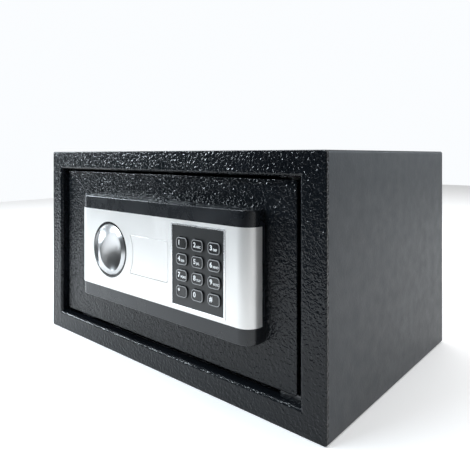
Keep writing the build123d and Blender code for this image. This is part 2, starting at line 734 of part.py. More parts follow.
def shoulder_screws():
    screws = []
    for x, z in post_spots():
        seat = CARRIAGE_Y0 - FIT
        screw = rod_y(x, z, seat, CARRIAGE_Y1 + FIT, SHOULDER_R)
        screw += rod_y(x, z, CARRIAGE_Y1 + FIT, CARRIAGE_Y1 + FIT + SCREW_HEAD_T, HEAD_R)
        screws.append(screw + rod_y(x, z, DOOR_BACK + 2, seat, SCREW_R))
    return screws


# ---------------------------------------------------------------- emergency lock and solenoid
def lock_cover():
    cover = cover_outline(0, PLATE_FRONT, SEAT_Y)
    cover = fillet(cover.faces().sort_by(Axis.Y)[0].edges(), COVER_EDGE_R)
    leg_z = COVER_H / 2 - COVER_LEDGE - FIT - COVER_LEG_T
    for s in (-1, 1):
        z0, z1 = sorted((MID_Z + s * leg_z, MID_Z + s * (leg_z + COVER_LEG_T)))
        cover += block(LOCK_X - COVER_LEG_W / 2, LOCK_X + COVER_LEG_W / 2,
                       SEAT_Y - MELD / 2, SEAT_Y + COVER_LEG_L, z0, z1)
    return cover


def lock_cylinder():
    body = rod_y(LOCK_X, MID_Z, LOCK_FACE, DOOR_BACK + LOCK_TAIL, LOCK_R)
    body += rod_y(LOCK_X, MID_Z, LOCK_FACE, LOCK_FACE + LOCK_FLANGE_T, LOCK_FLANGE_R)
    return body - rod_y(LOCK_X, MID_Z, LOCK_FACE - 1, DOOR_BACK + LOCK_TAIL + 1, ROTOR_R + RUNNING)


def lock_rotor():
    rotor = rod_y(LOCK_X, MID_Z, LOCK_FACE + 0.2, CAM_Y1, ROTOR_R)
    rotor -= block(LOCK_X - KEYHOLE_W / 2, LOCK_X + KEYHOLE_W / 2, LOCK_FACE - 1, LOCK_FACE + KEYHOLE_DEEP,
                   MID_Z - KEYHOLE_H / 2, MID_Z + KEYHOLE_H / 2)
    return rotor - cam_seat()


def cam_square(y0, y1):
    """The square end of the rotor, and the square hole in the lever that sits on it."""
    half = CAM_SQUARE / 2
    return block(LOCK_X - half, LOCK_X + half, y0, y1, MID_Z - half, MID_Z + half)


def cam_seat():
    """The turned-down square end of the rotor, as the ring of metal that is cut away."""
    ring = rod_y(LOCK_X, MID_Z, CAM_Y0, CAM_Y1 + 1, ROTOR_R + 1)
    return ring - cam_square(CAM_Y0 - 1, CAM_Y1 + 2)


def lock_cam():
    """The flat lever on the rotor's end. It points left at rest and up at a quarter turn."""
    r = CAM_W / 2
    tip = LOCK_X - CAM_REACH + r
    lever = rod_y(LOCK_X, MID_Z, CAM_Y0, CAM_Y1, ROTOR_R + 1)
    lever += block(tip, LOCK_X, CAM_Y0, CAM_Y1, MID_Z - r, MID_Z + r)
    lever += rod_y(tip, MID_Z, CAM_Y0, CAM_Y1, r)
    return lever - cam_square(CAM_Y0 - 1, CAM_Y1 + 1)


def lock_nut():
    nut = hexagon_y(LOCK_X, MID_Z, LOCK_NUT_AF, DOOR_BACK, DOOR_BACK + LOCK_NUT_T)
    return nut - rod_y(LOCK_X, MID_Z, DOOR_BACK - 1, DOOR_BACK + LOCK_NUT_T + 1, LOCK_R)


def collar_z():
    return ARM_TOP + TIP_GAP + COLLAR_UP


def solenoid_z():
    return ARM_TOP + SOLENOID_UP


def plunger():
    tip = ARM_TOP + TIP_GAP
    rod = rod_z(LOCK_X, PLUNGER_Y, tip, tip + PLUNGER_LEN, PLUNGER_R)
    return rod + rod_z(LOCK_X, PLUNGER_Y, collar_z(), collar_z() + COLLAR_T, COLLAR_R)


def solenoid_frame():
    x0, x1 = LOCK_X - SOLENOID_W / 2, LOCK_X + SOLENOID_W / 2
    z0, z1 = solenoid_z(), solenoid_z() + SOLENOID_H
    frame = block(x0, x1, DOOR_BACK, DOOR_BACK + SOLENOID_D, z0, z1)
    frame -= block(x0 - 1, x1 + 1, DOOR_BACK + SOLENOID_WALL, DOOR_BACK + SOLENOID_D + 1,
                   z0 + SOLENOID_WALL, z1 - SOLENOID_WALL)
    return frame - rod_z(LOCK_X, PLUNGER_Y, z0 - 1, z0 + SOLENOID_WALL + 1, PLUNGER_R + RUNNING)


def solenoid_coil():
    z0, z1 = solenoid_z() + SOLENOID_WALL, solenoid_z() + SOLENOID_H - SOLENOID_WALL
    coil = rod_z(LOCK_X, PLUNGER_Y, z0, z1, COIL_R)
    return coil - rod_z(LOCK_X, PLUNGER_Y, z0 - 1, z1 - 1, PLUNGER_R + RUNNING)


def plunger_spring():
    low = collar_z() + COLLAR_T + SPRING_WIRE_R
    high = solenoid_z() - SPRING_WIRE_R
    path = Helix(pitch=(high - low) / SPRING_TURNS, height=high - low, radius=SPRING_R)
    section = Plane(path @ 0, z_dir=path % 0) * Circle(SPRING_WIRE_R)
    return Pos(LOCK_X, PLUNGER_Y, low) * sweep(section, path=path)


# ---------------------------------------------------------------- lock case, boards and battery
def main_board_y():
    return DOOR_BACK + MAIN_BOARD_UP


def main_board():
    y0 = main_board_y()
    board = block(TRAY_CX - MAIN_BOARD_W / 2, TRAY_CX + MAIN_BOARD_W / 2, y0, y0 + BOARD_T,
                  MID_Z - MAIN_BOARD_H / 2, MID_Z + MAIN_BOARD_H / 2)
    for x, z, w, h, d in BOARD_CHIPS:
        board += block(TRAY_CX + x - w / 2, TRAY_CX + x + w / 2, y0 + BOARD_T - MELD, y0 + BOARD_T + d,
                       MID_Z + z - h / 2, MID_Z + z + h / 2)
    return board


def inner_case():
    case = block(CASE_X0, CASE_X1, DOOR_BACK, CASE_BACK, CASE_Z0, CASE_Z1)
    case = fillet(case.edges().filter_by(Axis.Y), CASE_CORNER_R)
    case = fillet(case.faces().sort_by(Axis.Y)[-1].edges(), CASE_EDGE_R)
    t = CASE_T
    case -= block(CASE_X0 + t, CASE_X1 - t, DOOR_BACK - 1, CASE_BACK - t, CASE_Z0 + t, CASE_Z1 - t)
    case -= block(TRAY_CX - TRAY_HALF_W, TRAY_CX + TRAY_HALF_W, CASE_BACK - t - 1, CASE_BACK + 1,
                  MID_Z - TRAY_HALF_H, MID_Z + TRAY_HALF_H)
    case -= rod_y(RESET_X, RESET_Z, CASE_BACK - t - 1, CASE_BACK + 1, RESET_R + RUNNING)
    for x, z in case_post_spots():
        case -= rod_y(x, z, CASE_BACK - t - 1, CASE_BACK + 1, SCREW_R)
    for z in bolt_heights():
        slot = BOLT_R + 2 * FIT
        case -= block(CASE_X0 - 1, CASE_X0 + t + 1, DOOR_BACK - 1, BOLT_Y, z - slot, z + slot)
        case -= rod_x(BOLT_Y, z, CASE_X0 - 1, CASE_X0 + t + 1, slot)
    for x, z in panel_screw_spots():
        case -= rod_y(x, z, DOOR_BACK - 1, DOOR_BACK + SCREW_HEAD_T + FIT, SCREW_HEAD_R + FIT)
    return case


def case_posts():
    posts = []
    for x, z in case_post_spots():
        post = rod_y(x, z, DOOR_BACK, CASE_BACK - CASE_T, CASE_POST_R)
        posts.append(post - rod_y(x, z, CASE_BACK - 14, CASE_BACK, SCREW_R))
    return posts


def case_screws():
    return [rod_y(x, z, CASE_BACK - 12, CASE_BACK, SCREW_R)
            + rod_y(x, z, CASE_BACK, CASE_BACK + SCREW_HEAD_T, SCREW_HEAD_R) for x, z in case_post_spots()]


def panel_screws():
    return [rod_y(x, z, WALL_BACK + 4, DOOR_BACK, SCREW_R)
            + rod_y(x, z, DOOR_BACK, DOOR_BACK + SCREW_HEAD_T, SCREW_HEAD_R) for x, z in panel_screw_spots()]


def tray_y0():
    return CASE_BACK - CASE_T - TRAY_D


def battery_tray():
    w, h = TRAY_HALF_W + TRAY_WALL, TRAY_HALF_H + TRAY_WALL
    back = CASE_BACK - CASE_T
    tray = block(TRAY_CX - w, TRAY_CX + w, tray_y0(), back, MID_Z - h, MID_Z + h)
    return tray - block(TRAY_CX - TRAY_HALF_W, TRAY_CX + TRAY_HALF_W, tray_y0() + TRAY_WALL, back + 1,
                        MID_Z - TRAY_HALF_H, MID_Z + TRAY_HALF_H)


def cell_spots():
    y = tray_y0() + TRAY_WALL + CELL_R + 1.5
    return [(y, MID_Z + CELL_PITCH * (i - (CELLS - 1) / 2), 1 if i % 2 else -1) for i in range(CELLS)]


def battery_cells():
    cells = []
    for y, z, side in cell_spots():
        ends = sorted((-side * CELL_L / 2, side * (CELL_L / 2 - CELL_NUB_L)))
        cell = rod_x(y, z, TRAY_CX + ends[0], TRAY_CX + ends[1], CELL_R)
        nub = sorted((side * (CELL_L / 2 - CELL_NUB_L - 1), side * CELL_L / 2))
        cells.append(cell + rod_x(y, z, TRAY_CX + nub[0], TRAY_CX + nub[1], CELL_NUB_R))
    return cells


def battery_contacts():
    contacts = []
    for y, z, _ in cell_spots():
        for side in (-1, 1):
            wall = side * TRAY_HALF_W
            inner = wall - side * CONTACT_PLATE_T
            x0, x1 = sorted((wall, inner))
            plate = block(TRAY_CX + x0, TRAY_CX + x1, y - 5, y + 5, z - 5, z + 5)
            x0, x1 = sorted((inner + side * 0.1, side * CELL_L / 2))
            contacts.append(plate + rod_x(y, z, TRAY_CX + x0, TRAY_CX + x1, CONTACT_R))
    return contacts


def battery_cover():
    w, h = TRAY_HALF_W + COVER_LAP, TRAY_HALF_H + COVER_LAP
    cover = rounded(TRAY_CX, MID_Z, 2 * w, 2 * h, BATTERY_COVER_R, CASE_BACK, CASE_BACK + BATTERY_COVER_T)
    outside = CASE_BACK + BATTERY_COVER_T
    for i in range(GRIPS):
        z = MID_Z + h - GRIP_DOWN + GRIP_PITCH * i
        cover += block(TRAY_CX - GRIP_HALF_W, TRAY_CX + GRIP_HALF_W, outside - MELD, outside + GRIP_T,
                       z - GRIP_RIB / 2, z + GRIP_RIB / 2)
    for s in (-1, 1):
        z0, z1 = sorted((MID_Z + s * (TRAY_HALF_H - FIT), MID_Z + s * (TRAY_HALF_H - FIT - CATCH_T)))
        cover += block(TRAY_CX - CATCH_W / 2, TRAY_CX + CATCH_W / 2,
                       CASE_BACK - CASE_T - CATCH_T, CASE_BACK + MELD, z0, z1)
    return cover


def reset_button():
    return rod_y(RESET_X, RESET_Z, CASE_BACK - RESET_L, CASE_BACK + RESET_PROUD, RESET_R)


# ---------------------------------------------------------------- write every sub-part
KEY_NAMES = [["key_1", "key_2", "key_3"], ["key_4", "key_5", "key_6"],
             ["key_7", "key_8", "key_9"], ["key_star", "key_0", "key_hash"]]

save("front_frame", front_frame())
save("body_wrap", body_wrap())
save("rear_panel", rear_panel())
save("floor_mat", floor_mat())
save("hinge_brackets", [hinge_bracket(1), hinge_bracket(-1)])
save("latch_strip", latch_strip())
save("door_plate", door_plate())
save("hinge_lugs", [hinge_lug(1), hinge_lug(-1)])
save("hinge_pins", [hinge_pin(1), hinge_pin(-1)])
save("panel_housing", panel_housing())
save("face_plate", face_plate())
save("knob_ring", knob_ring())
save("keypad_trim", keypad_trim())
save("keypad_fascia", keypad_fascia())
save("dome_mat", dome_mat())
save("keypad_board", keypad_board())
save("indicator_leds", indicator_leds())
save("buzzer", buzzer())
save("keypad_lead", keypad_lead())
save("lead_grommet", lead_grommet())
save("knob", knob())
save("knob_spindle", knob_spindle())
save("spindle_clip", spindle_clip())
save("crank", crank())
save("bolt_carriage", bolt_carriage())
save("lower_bolt", live_bolt(bolt_heights()[0]))
save("upper_bolt", live_bolt(bolt_heights()[1]))
save("bolt_nuts", bolt_nuts())
save("bolt_guide", bolt_guide())
save("shoulder_screws", shoulder_screws())
save("lock_cover", lock_cover())
save("lock_cylinder", lock_cylinder())
save("lock_rotor", lock_rotor())
save("lock_cam", lock_cam())
save("lock_nut", lock_nut())
save("solenoid_plunger", plunger())
save("solenoid_frame", solenoid_frame())
save("solenoid_coil", solenoid_coil())
save("plunger_spring", plunger_spring())
save("main_board", main_board())
save("inner_case", inner_case())
save("standoffs", carriage_posts() + case_posts())
save("m3_screws", panel_screws() + case_screws())
save("battery_tray", battery_tray())
save("battery_cells", battery_cells())
save("battery_contacts", battery_contacts())
save("battery_cover", battery_cover())
save("reset_button", reset_button())
for row, z in zip(KEY_NAMES, KEY_ZS):
    for name, x in zip(row, KEY_XS):
        save(name, key(x, z))
print("bolt travel", round(BOLT_TRAVEL, 3), "knob turn", KNOB_TURN, "nodes", len(os.listdir("parts")))
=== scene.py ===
# %% [markdown]
# # An in-room safe
# This notebook dresses a small steel safe: a powder-coated box, a door set back in its front, and a control
# panel with a turn knob, a lock cover and a keypad. The mechanism and all sizes come from the CAD model,
# which is loaded first and never moved. What is added here is what an eye rests on: the finishes, the knob,
# the rims and prints of the keys, and the felt inside.

# %% Load the fixed frame
import bpy
import json
import math
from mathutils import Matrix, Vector

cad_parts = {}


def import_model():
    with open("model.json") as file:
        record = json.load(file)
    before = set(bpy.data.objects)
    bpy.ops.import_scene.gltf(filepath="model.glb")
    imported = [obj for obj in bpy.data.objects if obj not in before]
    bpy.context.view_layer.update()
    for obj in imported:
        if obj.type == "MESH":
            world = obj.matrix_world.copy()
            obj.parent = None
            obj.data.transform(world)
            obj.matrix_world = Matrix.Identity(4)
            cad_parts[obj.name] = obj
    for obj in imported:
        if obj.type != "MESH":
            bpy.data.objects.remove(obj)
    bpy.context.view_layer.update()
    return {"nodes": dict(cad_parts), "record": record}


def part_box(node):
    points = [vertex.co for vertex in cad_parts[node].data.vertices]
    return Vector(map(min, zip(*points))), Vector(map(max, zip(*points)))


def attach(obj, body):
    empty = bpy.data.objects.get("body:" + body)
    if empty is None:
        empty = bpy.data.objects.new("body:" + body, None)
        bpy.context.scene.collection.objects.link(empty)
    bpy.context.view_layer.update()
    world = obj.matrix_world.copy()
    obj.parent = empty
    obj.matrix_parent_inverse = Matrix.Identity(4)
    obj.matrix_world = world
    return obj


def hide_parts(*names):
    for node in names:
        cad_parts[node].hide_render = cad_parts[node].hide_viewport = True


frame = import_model()
nodes = frame["nodes"]
body_of = {name: body for body, members in frame["record"]["behaviour"]["bodies"].items() for name in members}
slot_of = {part["node"]: part["material_slot"] for part in frame["record"]["subparts"]}
MM = 0.001


# %% [markdown]
# ## Where things are
# Each place below is read from the boxes of the CAD nodes, so a piece follows the model if a size changes.
# The front of the safe looks along -Y, so a piece is drawn flat on the ground first and then stood up.

# %% Places read from the frame
def middle(node):
    low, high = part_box(node)
    return (low + high) / 2


def front_of(node):
    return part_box(node)[0].y


KEYS = ["key_1", "key_2", "key_3", "key_4", "key_5", "key_6", "key_7", "key_8", "key_9",
        "key_star", "key_0", "key_hash"]
knob_low, knob_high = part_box("knob")
KNOB_CENTRE = middle("knob")
KNOB_R = (knob_high.x - knob_low.x) / 2
print("knob centre", [round(v, 4) for v in KNOB_CENTRE], "radius", round(KNOB_R, 4))

# %% [markdown]
# ## The camera
# The safe is seen from the front right, with the eye level with its top, so its upright edges stay upright.
# A level camera with a little vertical shift keeps them parallel, where tilting it would make them lean.

# %% Camera
EYE = (0.3408, -0.4006, 0.1963)
TURN_DEG = 40.74
LENS_MM = 36.36
SHIFT_Y = -0.17


def make_camera():
    data = bpy.data.cameras.new("camera")
    data.lens = LENS_MM
    data.sensor_width = 36.0
    data.shift_y = SHIFT_Y
    data.clip_start = 0.01
    camera = bpy.data.objects.new("camera", data)
    camera.location = EYE
    camera.rotation_euler = (math.radians(90), 0, math.radians(TURN_DEG))
    bpy.context.scene.collection.objects.link(camera)
    bpy.context.scene.camera = camera
    return camera


print("camera", make_camera().name)


# %% [markdown]
# ## A small kit for finishes
# A finish is one Principled shader with a few procedural nodes in front of it. All patterns read Object
# coordinates, which are metres here, so a size is given as the width of one grain in metres. `pattern` makes
# noise of that size, `bump` turns it into relief, `tint` varies the colour and `uneven` varies the gloss.

# %% Helpers for materials
def finish(name, colour, roughness, metallic=0.0, **sockets):
    material = bpy.data.materials.new(name)
    material.use_nodes = True
    shader = material.node_tree.nodes["Principled BSDF"]
    shader.inputs["Base Color"].default_value = (*colour, 1.0)
    shader.inputs["Roughness"].default_value = roughness
    shader.inputs["Metallic"].default_value = metallic
    for socket, value in sockets.items():
        shader.inputs[socket.replace("_", " ")].default_value = value
    return material


def shader_of(material):
    return material.node_tree.nodes["Principled BSDF"]


def node(material, kind, inputs=None, **settings):
    made = material.node_tree.nodes.new(kind)
    for name, value in settings.items():
        setattr(made, name, value)
    for name, value in (inputs or {}).items():
        made.inputs[name].default_value = value
    return made


def link(material, output, socket):
    material.node_tree.links.new(output, socket)


def place(material, stretch):
    """Object coordinates, stretched along the axes."""
    coordinates = node(material, "ShaderNodeTexCoord")
    mapping = node(material, "ShaderNodeMapping", {"Scale": stretch})
    link(material, coordinates.outputs["Object"], mapping.inputs["Vector"])
    return mapping.outputs["Vector"]


def pattern(material, size, detail=2.0, distortion=0.0, stretch=(1, 1, 1)):
    noise = node(material, "ShaderNodeTexNoise",
                 {"Scale": 1 / size, "Detail": detail, "Distortion": distortion})
    link(material, place(material, stretch), noise.inputs["Vector"])
    return noise.outputs[0]


def spread(material, value, low, high, start=0.3, end=0.7):
    """Maps a pattern's values between start and end on to low to high."""
    mapped = node(material, "ShaderNodeMapRange",
                  {"From Min": start, "From Max": end, "To Min": low, "To Max": high})
    link(material, value, mapped.inputs["Value"])
    return mapped.outputs["Result"]


def bump(material, height, depth, strength=1.0):
    """Adds relief of a depth in metres, on top of any relief that is there already."""
    relief = node(material, "ShaderNodeBump", {"Strength": strength, "Distance": depth})
    normal = shader_of(material).inputs["Normal"]
    if normal.is_linked:
        link(material, normal.links[0].from_socket, relief.inputs["Normal"])
    link(material, height, relief.inputs["Height"])
    link(material, relief.outputs["Normal"], normal)
    return relief


def tint(material, value, dark, light, start=0.3, end=0.7):
    ramp = node(material, "ShaderNodeValToRGB")
    ramp.color_ramp.elements[0].position = start
    ramp.color_ramp.elements[1].position = end
    ramp.color_ramp.elements[0].color = (*dark, 1.0)
    ramp.color_ramp.elements[1].color = (*light, 1.0)
    link(material, value, ramp.inputs["Fac"])
    link(material, ramp.outputs["Color"], shader_of(material).inputs["Base Color"])


def uneven(material, value, low, high):
    link(material, spread(material, value, low, high), shader_of(material).inputs["Roughness"])


# %% [markdown]
# ## Powder coat
# The box and the door are sprayed with a dry powder that melts into a hard, pebbled skin. On the front it
# flows into wrinkles a little over two millimetres apart, which is noise with some distortion. Each wrinkle
# catches a lamp on its slope, and that gives the glints. The sides are the same paint with a finer and
# shallower grain. Their colour is painted lighter and bluer than the front's, as painted light for the light
# on them.

# %% Powder coat
COAT_DARK = (0.0035, 0.0045, 0.006)
COAT_LIGHT = (0.006, 0.0075, 0.0095)
# The side colours are painted light: the same paint as the front, made lighter and bluer for the light on the
# sides.
SIDE_LIT_DARK = (0.007, 0.0115, 0.017)
SIDE_LIT_LIGHT = (0.010, 0.0155, 0.022)
COAT_CLOUD = 50 * MM
COAT_GLOSS_PATCH = 12 * MM


def powder_coat(name, grain, depth, low, high, dark=COAT_DARK, light=COAT_LIGHT, shine=0.5):
    material = finish(name, dark, low, Specular_IOR_Level=shine)
    bump(material, pattern(material, grain, detail=1.0, distortion=0.6), depth)
    tint(material, pattern(material, COAT_CLOUD, detail=3.0), dark, light)
    uneven(material, pattern(material, COAT_GLOSS_PATCH), low, high)
    return material


coat_front = powder_coat("powder_coat_front", 0.0024, 0.0007, 0.16, 0.22, shine=0.24)
coat_side_lit = powder_coat("powder_coat_side_lit", 0.0016, 0.0001, 0.4, 0.48, SIDE_LIT_DARK, SIDE_LIT_LIGHT)
coat_case = powder_coat("satin_black_case", 0.0012, 0.00012, 0.4, 0.5)
print("powder coats", coat_front.name, coat_side_lit.name, coat_case.name)

# %% [markdown]
# ## Silver parts
# The face plate is a thin band of satin silver. Its finish is very fine lines along its length, so the noise
# is stretched hard along X. The knob and the trim are smoother and brighter. Zinc plating has a faint
# cloudy spangle, and the bolts and contacts are plain polished nickel.

# %% Silver and plated metals
def brushed(name, colour, roughness, metallic=0.85, lines=0.0004, depth=0.00002, along=(0.02, 1, 1)):
    material = finish(name, colour, roughness, metallic)
    bump(material, pattern(material, lines, detail=3.0, stretch=along), depth, 0.6)
    uneven(material, pattern(material, 0.03, detail=3.0), roughness * 0.9, roughness * 1.15)
    return material


def plated(name, colour, roughness, cloud=0.006):
    material = finish(name, colour, roughness, 1.0)
    cloudy = pattern(material, cloud, detail=4.0)
    tint(material, cloudy, [c * 0.82 for c in colour], colour)
    uneven(material, cloudy, roughness * 0.8, roughness * 1.3)
    bump(material, pattern(material, 0.0008, detail=3.0), 0.00002)
    return material


silver_plate = brushed("silver_plate", (0.78, 0.77, 0.755), 0.36, 0.6)
silver_trim = brushed("bright_trim", (0.93, 0.94, 0.95), 0.22, 0.8)
silver_knob = brushed("satin_knob", (0.6, 0.605, 0.61), 0.3, 1.0, depth=0.00001, along=(1, 1, 0.05))
zinc = plated("zinc_plate", (0.6, 0.61, 0.62), 0.34)
nickel = plated("polished_nickel", (0.78, 0.77, 0.74), 0.16, 0.01)
brass = plated("turned_brass", (0.78, 0.6, 0.3), 0.28, 0.004)
print("metals", [m.name for m in (silver_plate, silver_trim, silver_knob, zinc, nickel, brass)])

# %% [markdown]
# ## Plastics, rubber and the rest
# Moulded plastic is never perfectly even: it has a very fine spark-eroded grain and slow changes of gloss.
# The keypad's front is a smoother sheet, the keys are a softer black, and the prints are a flat white ink.

# %% Plastics and soft materials
def moulded(name, colour, low, high, grain=0.0005, depth=0.00003):
    material = finish(name, colour, low, Specular_IOR_Level=0.5)
    bump(material, pattern(material, grain, detail=2.0), depth)
    tint(material, pattern(material, 0.02, detail=3.0), [c * 0.85 for c in colour], [c * 1.1 for c in colour])
    uneven(material, pattern(material, 0.02, detail=2.0), low, high)
    return material


panel_black = moulded("panel_black", (0.006, 0.0075, 0.010), 0.24, 0.32)
fascia_black = moulded("fascia_black", (0.012, 0.013, 0.014), 0.3, 0.38, depth=0.00001)
key_black = moulded("key_black", (0.009, 0.0095, 0.0105), 0.2, 0.28, depth=0.00001)
# The key rims' light grey is a painted highlight for the light their raised edges catch.
key_rim_highlight = moulded("key_rim_highlight", (0.3, 0.305, 0.31), 0.25, 0.35)
ring_black = moulded("ring_black", (0.004, 0.004, 0.005), 0.2, 0.26, depth=0.00001)
rubber = moulded("rubber_grey", (0.12, 0.12, 0.125), 0.55, 0.65)
amber = moulded("lens_amber", (0.75, 0.42, 0.08), 0.15, 0.2)
red = moulded("button_red", (0.55, 0.03, 0.03), 0.25, 0.35)
copper = plated("enamelled_copper", (0.62, 0.27, 0.12), 0.3, 0.002)
cell_sleeve = moulded("cell_sleeve", (0.1, 0.11, 0.125), 0.3, 0.38)
board_green = moulded("solder_mask", (0.02, 0.16, 0.07), 0.3, 0.4, 0.001, 0.00004)
white_ink = moulded("white_ink", (0.85, 0.86, 0.87), 0.45, 0.55)
print("plastics ready")

# %% [markdown]
# ## Dressing the CAD nodes
# Most of the safe keeps its CAD shape and only gets its finish here. The record already names a material
# slot for each node, so one table from slot to finish dresses them all. The wrap and back get the side
# coat, whose lighter, bluer colour is painted light for the light that falls on the sides.

# %% Give each node its finish
FINISHES = {
    "powder_coat": coat_front, "zinc_steel": zinc, "panel_plastic": panel_black, "plate_silver": silver_plate,
    "knob_silver": silver_knob, "trim_bright": silver_trim, "fascia_black": fascia_black,
    "key_black": key_black, "ring_black": ring_black, "rubber_grey": rubber, "felt_grey": rubber,
    "board_green": board_green, "lens_amber": amber, "lock_brass": brass, "coil_copper": copper,
    "cell_wrap": cell_sleeve, "contact_nickel": nickel, "case_black": coat_case, "button_red": red}
# The wrap and back are the sides; their coat's colour is painted lighter for the light that falls on them.
LIT_SIDE_PARTS = ["body_wrap", "rear_panel"]


def dress(obj, material):
    obj.data.materials.clear()
    obj.data.materials.append(material)


for name, obj in nodes.items():
    dress(obj, coat_side_lit if name in LIT_SIDE_PARTS else FINISHES[slot_of[name]])
print("dressed", len(nodes), "nodes")


# %% [markdown]
# ## Helpers for modelling
# An operator acts on everything selected, so `alone` clears the selection first. `stand` turns a piece drawn
# flat on the ground so that its top faces the viewer in front of the safe, moves it into place and applies
# that, so its object stays at the origin.

# %% Helpers for modelling
def alone(obj=None):
    if bpy.context.object and bpy.context.object.mode != "OBJECT":
        bpy.ops.object.mode_set(mode="OBJECT")
    bpy.ops.object.select_all(action="DESELECT")
    if obj:
        obj.select_set(True)
        bpy.context.view_layer.objects.active = obj
    return obj


def modify(obj, kind, **settings):
    """Adds a modifier and applies it at once."""
    alone(obj)
    modifier = obj.modifiers.new(kind.lower(), kind)
    for key, value in settings.items():
        setattr(modifier, key, value)
    bpy.ops.object.modifier_apply(modifier=modifier.name)


def bevel(obj, width, segments=2, angle=40):
    modify(obj, "BEVEL", width=width, segments=segments, limit_method="ANGLE", angle_limit=math.radians(angle))


def tidy_mesh(obj, angle=35):
    """Merges doubles, turns the faces outwards and smooths all but the sharp edges."""
    alone(obj)
    bpy.ops.object.mode_set(mode="EDIT")
    bpy.ops.mesh.select_all(action="SELECT")
    bpy.ops.mesh.remove_doubles(threshold=0.000005)
    bpy.ops.mesh.normals_make_consistent(inside=False)
    bpy.ops.object.mode_set(mode="OBJECT")
    bpy.ops.object.shade_smooth_by_angle(angle=math.radians(angle))


def apply_place(obj):
    alone(obj)
    bpy.ops.object.transform_apply(location=True, rotation=True, scale=True)


def stand(obj, x, y, z):
    apply_place(obj)
    obj.rotation_euler = (math.radians(90), 0, 0)
    obj.location = (x, y, z)
    apply_place(obj)


def cut(obj, cutter):
    modify(obj, "BOOLEAN", object=cutter, operation="DIFFERENCE", solver="EXACT")
    bpy.data.objects.remove(cutter)


def keep_inside(obj, other):
    modify(obj, "BOOLEAN", object=other, operation="INTERSECT", solver="EXACT")
    bpy.data.objects.remove(other)


def fit(obj, name, body, material, slot, *replaced):
    """Names a finished piece, gives it its finish and makes it ride with its body."""
    obj.name = name
    obj.data.name = name
    dress(obj, material)
    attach(obj, body)
    if replaced:
        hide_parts(*replaced)
    print(name, "faces", len(obj.data.polygons))
    return obj


# %% [markdown]
# ## The turn knob
# The knob is a cast disc with a low dome. Two bowls are scooped out of it, left and right, which leave an
# upright blade between them to grip: sharp in the middle, where thumb and finger meet, and wide at its ends.
# Turned parts start from a cylinder: here it is cut to a ball's surface for the dome, then two stretched
# balls cut the bowls, and a small bevel softens every edge.

# %% Knob
DOME_RISE = 12 * MM
SCOOP_HALF_W = 14 * MM
SCOOP_HALF_H = 24 * MM
SCOOP_DEPTH = 2 * MM
BLADE_HALF = 1.5 * MM
RIM_WIDTH = 2.5 * MM
KNOB_EDGE = 0.35 * MM
RIM_PLANE = knob_low.y + DOME_RISE


def cylinder(radius, depth, location, vertices=96, rotation=(0, 0, 0)):
    alone()
    bpy.ops.mesh.primitive_cylinder_add(vertices=vertices, radius=radius, depth=depth, location=location,
                                        rotation=rotation)
    return bpy.context.object


def ball(radius, location, stretch=(1, 1, 1)):
    alone()
    bpy.ops.mesh.primitive_uv_sphere_add(segments=160, ring_count=96, radius=radius, location=location)
    made = bpy.context.object
    made.scale = stretch
    apply_place(made)
    return made


def knob():
    """Drawn lying on its back: its crest points up, and up on the door is +Y."""
    deep = knob_high.y - RIM_PLANE
    body = cylinder(KNOB_R, deep + DOME_RISE + MM, (0, 0, (DOME_RISE + MM - deep) / 2), 160)
    ball_r = (KNOB_R**2 + DOME_RISE**2) / (2 * DOME_RISE)
    keep_inside(body, ball(ball_r, (0, 0, DOME_RISE - ball_r)))
    for side in (-1, 1):
        centre = (side * (BLADE_HALF + SCOOP_HALF_W), 0, DOME_RISE)
        scoop = ball(1, centre, (SCOOP_HALF_W, SCOOP_HALF_H, DOME_RISE + SCOOP_DEPTH))
        bowl = cylinder(KNOB_R - RIM_WIDTH, 4 * DOME_RISE, (0, 0, 0), 160)
        keep_inside(scoop, bowl)
        cut(body, scoop)
    bevel(body, KNOB_EDGE, 3, 30)
    tidy_mesh(body)
    stand(body, KNOB_CENTRE.x, RIM_PLANE, KNOB_CENTRE.z)
    return body


fit(knob(), "knob_casting", "knob_group", silver_knob, "knob_silver", "knob")

# %% [markdown]
# ## Raised rims on the keys
# Each key has a thin raised lip round its edge, and the lip's light grey is a painted highlight for the light
# it catches. One lip is made from a plane: its corners are bevelled round, the face is inset and its middle
# deleted, and the strip that is left is given a thickness. Then it is copied to the twelve keys, each copy
# with a mesh of its own.

# %% Key rims
KEY_LOW, KEY_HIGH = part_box("key_5")
RIM_LINE = 0.55 * MM
RIM_H = 0.3 * MM
RIM_SUNK = 0.1 * MM
RIM_INSET = 0.35 * MM
RIM_CORNER_R = 3.0 * MM
FLANGE = 0.8 * MM
CAP_W = KEY_HIGH.x - KEY_LOW.x - 2 * FLANGE
CAP_H = KEY_HIGH.z - KEY_LOW.z - 2 * FLANGE


def key_lip():
    alone()
    bpy.ops.mesh.primitive_plane_add(size=1)
    lip = bpy.context.object
    lip.scale = (CAP_W - 2 * RIM_INSET, CAP_H - 2 * RIM_INSET, 1)
    apply_place(lip)
    alone(lip)
    bpy.ops.object.mode_set(mode="EDIT")
    bpy.ops.mesh.select_all(action="SELECT")
    bpy.ops.mesh.bevel(offset=RIM_CORNER_R, segments=8, affect="VERTICES")
    bpy.ops.mesh.select_mode(type="FACE")
    bpy.ops.mesh.select_all(action="SELECT")
    bpy.ops.mesh.inset(thickness=RIM_LINE, depth=0)
    bpy.ops.mesh.delete(type="FACE")
    bpy.ops.object.mode_set(mode="OBJECT")
    modify(lip, "SOLIDIFY", thickness=RIM_H + RIM_SUNK, offset=0)
    bevel(lip, 0.12 * MM, 2)
    tidy_mesh(lip)
    return lip


def copy_of(obj):
    twin = obj.copy()
    twin.data = obj.data.copy()
    bpy.context.scene.collection.objects.link(twin)
    return twin


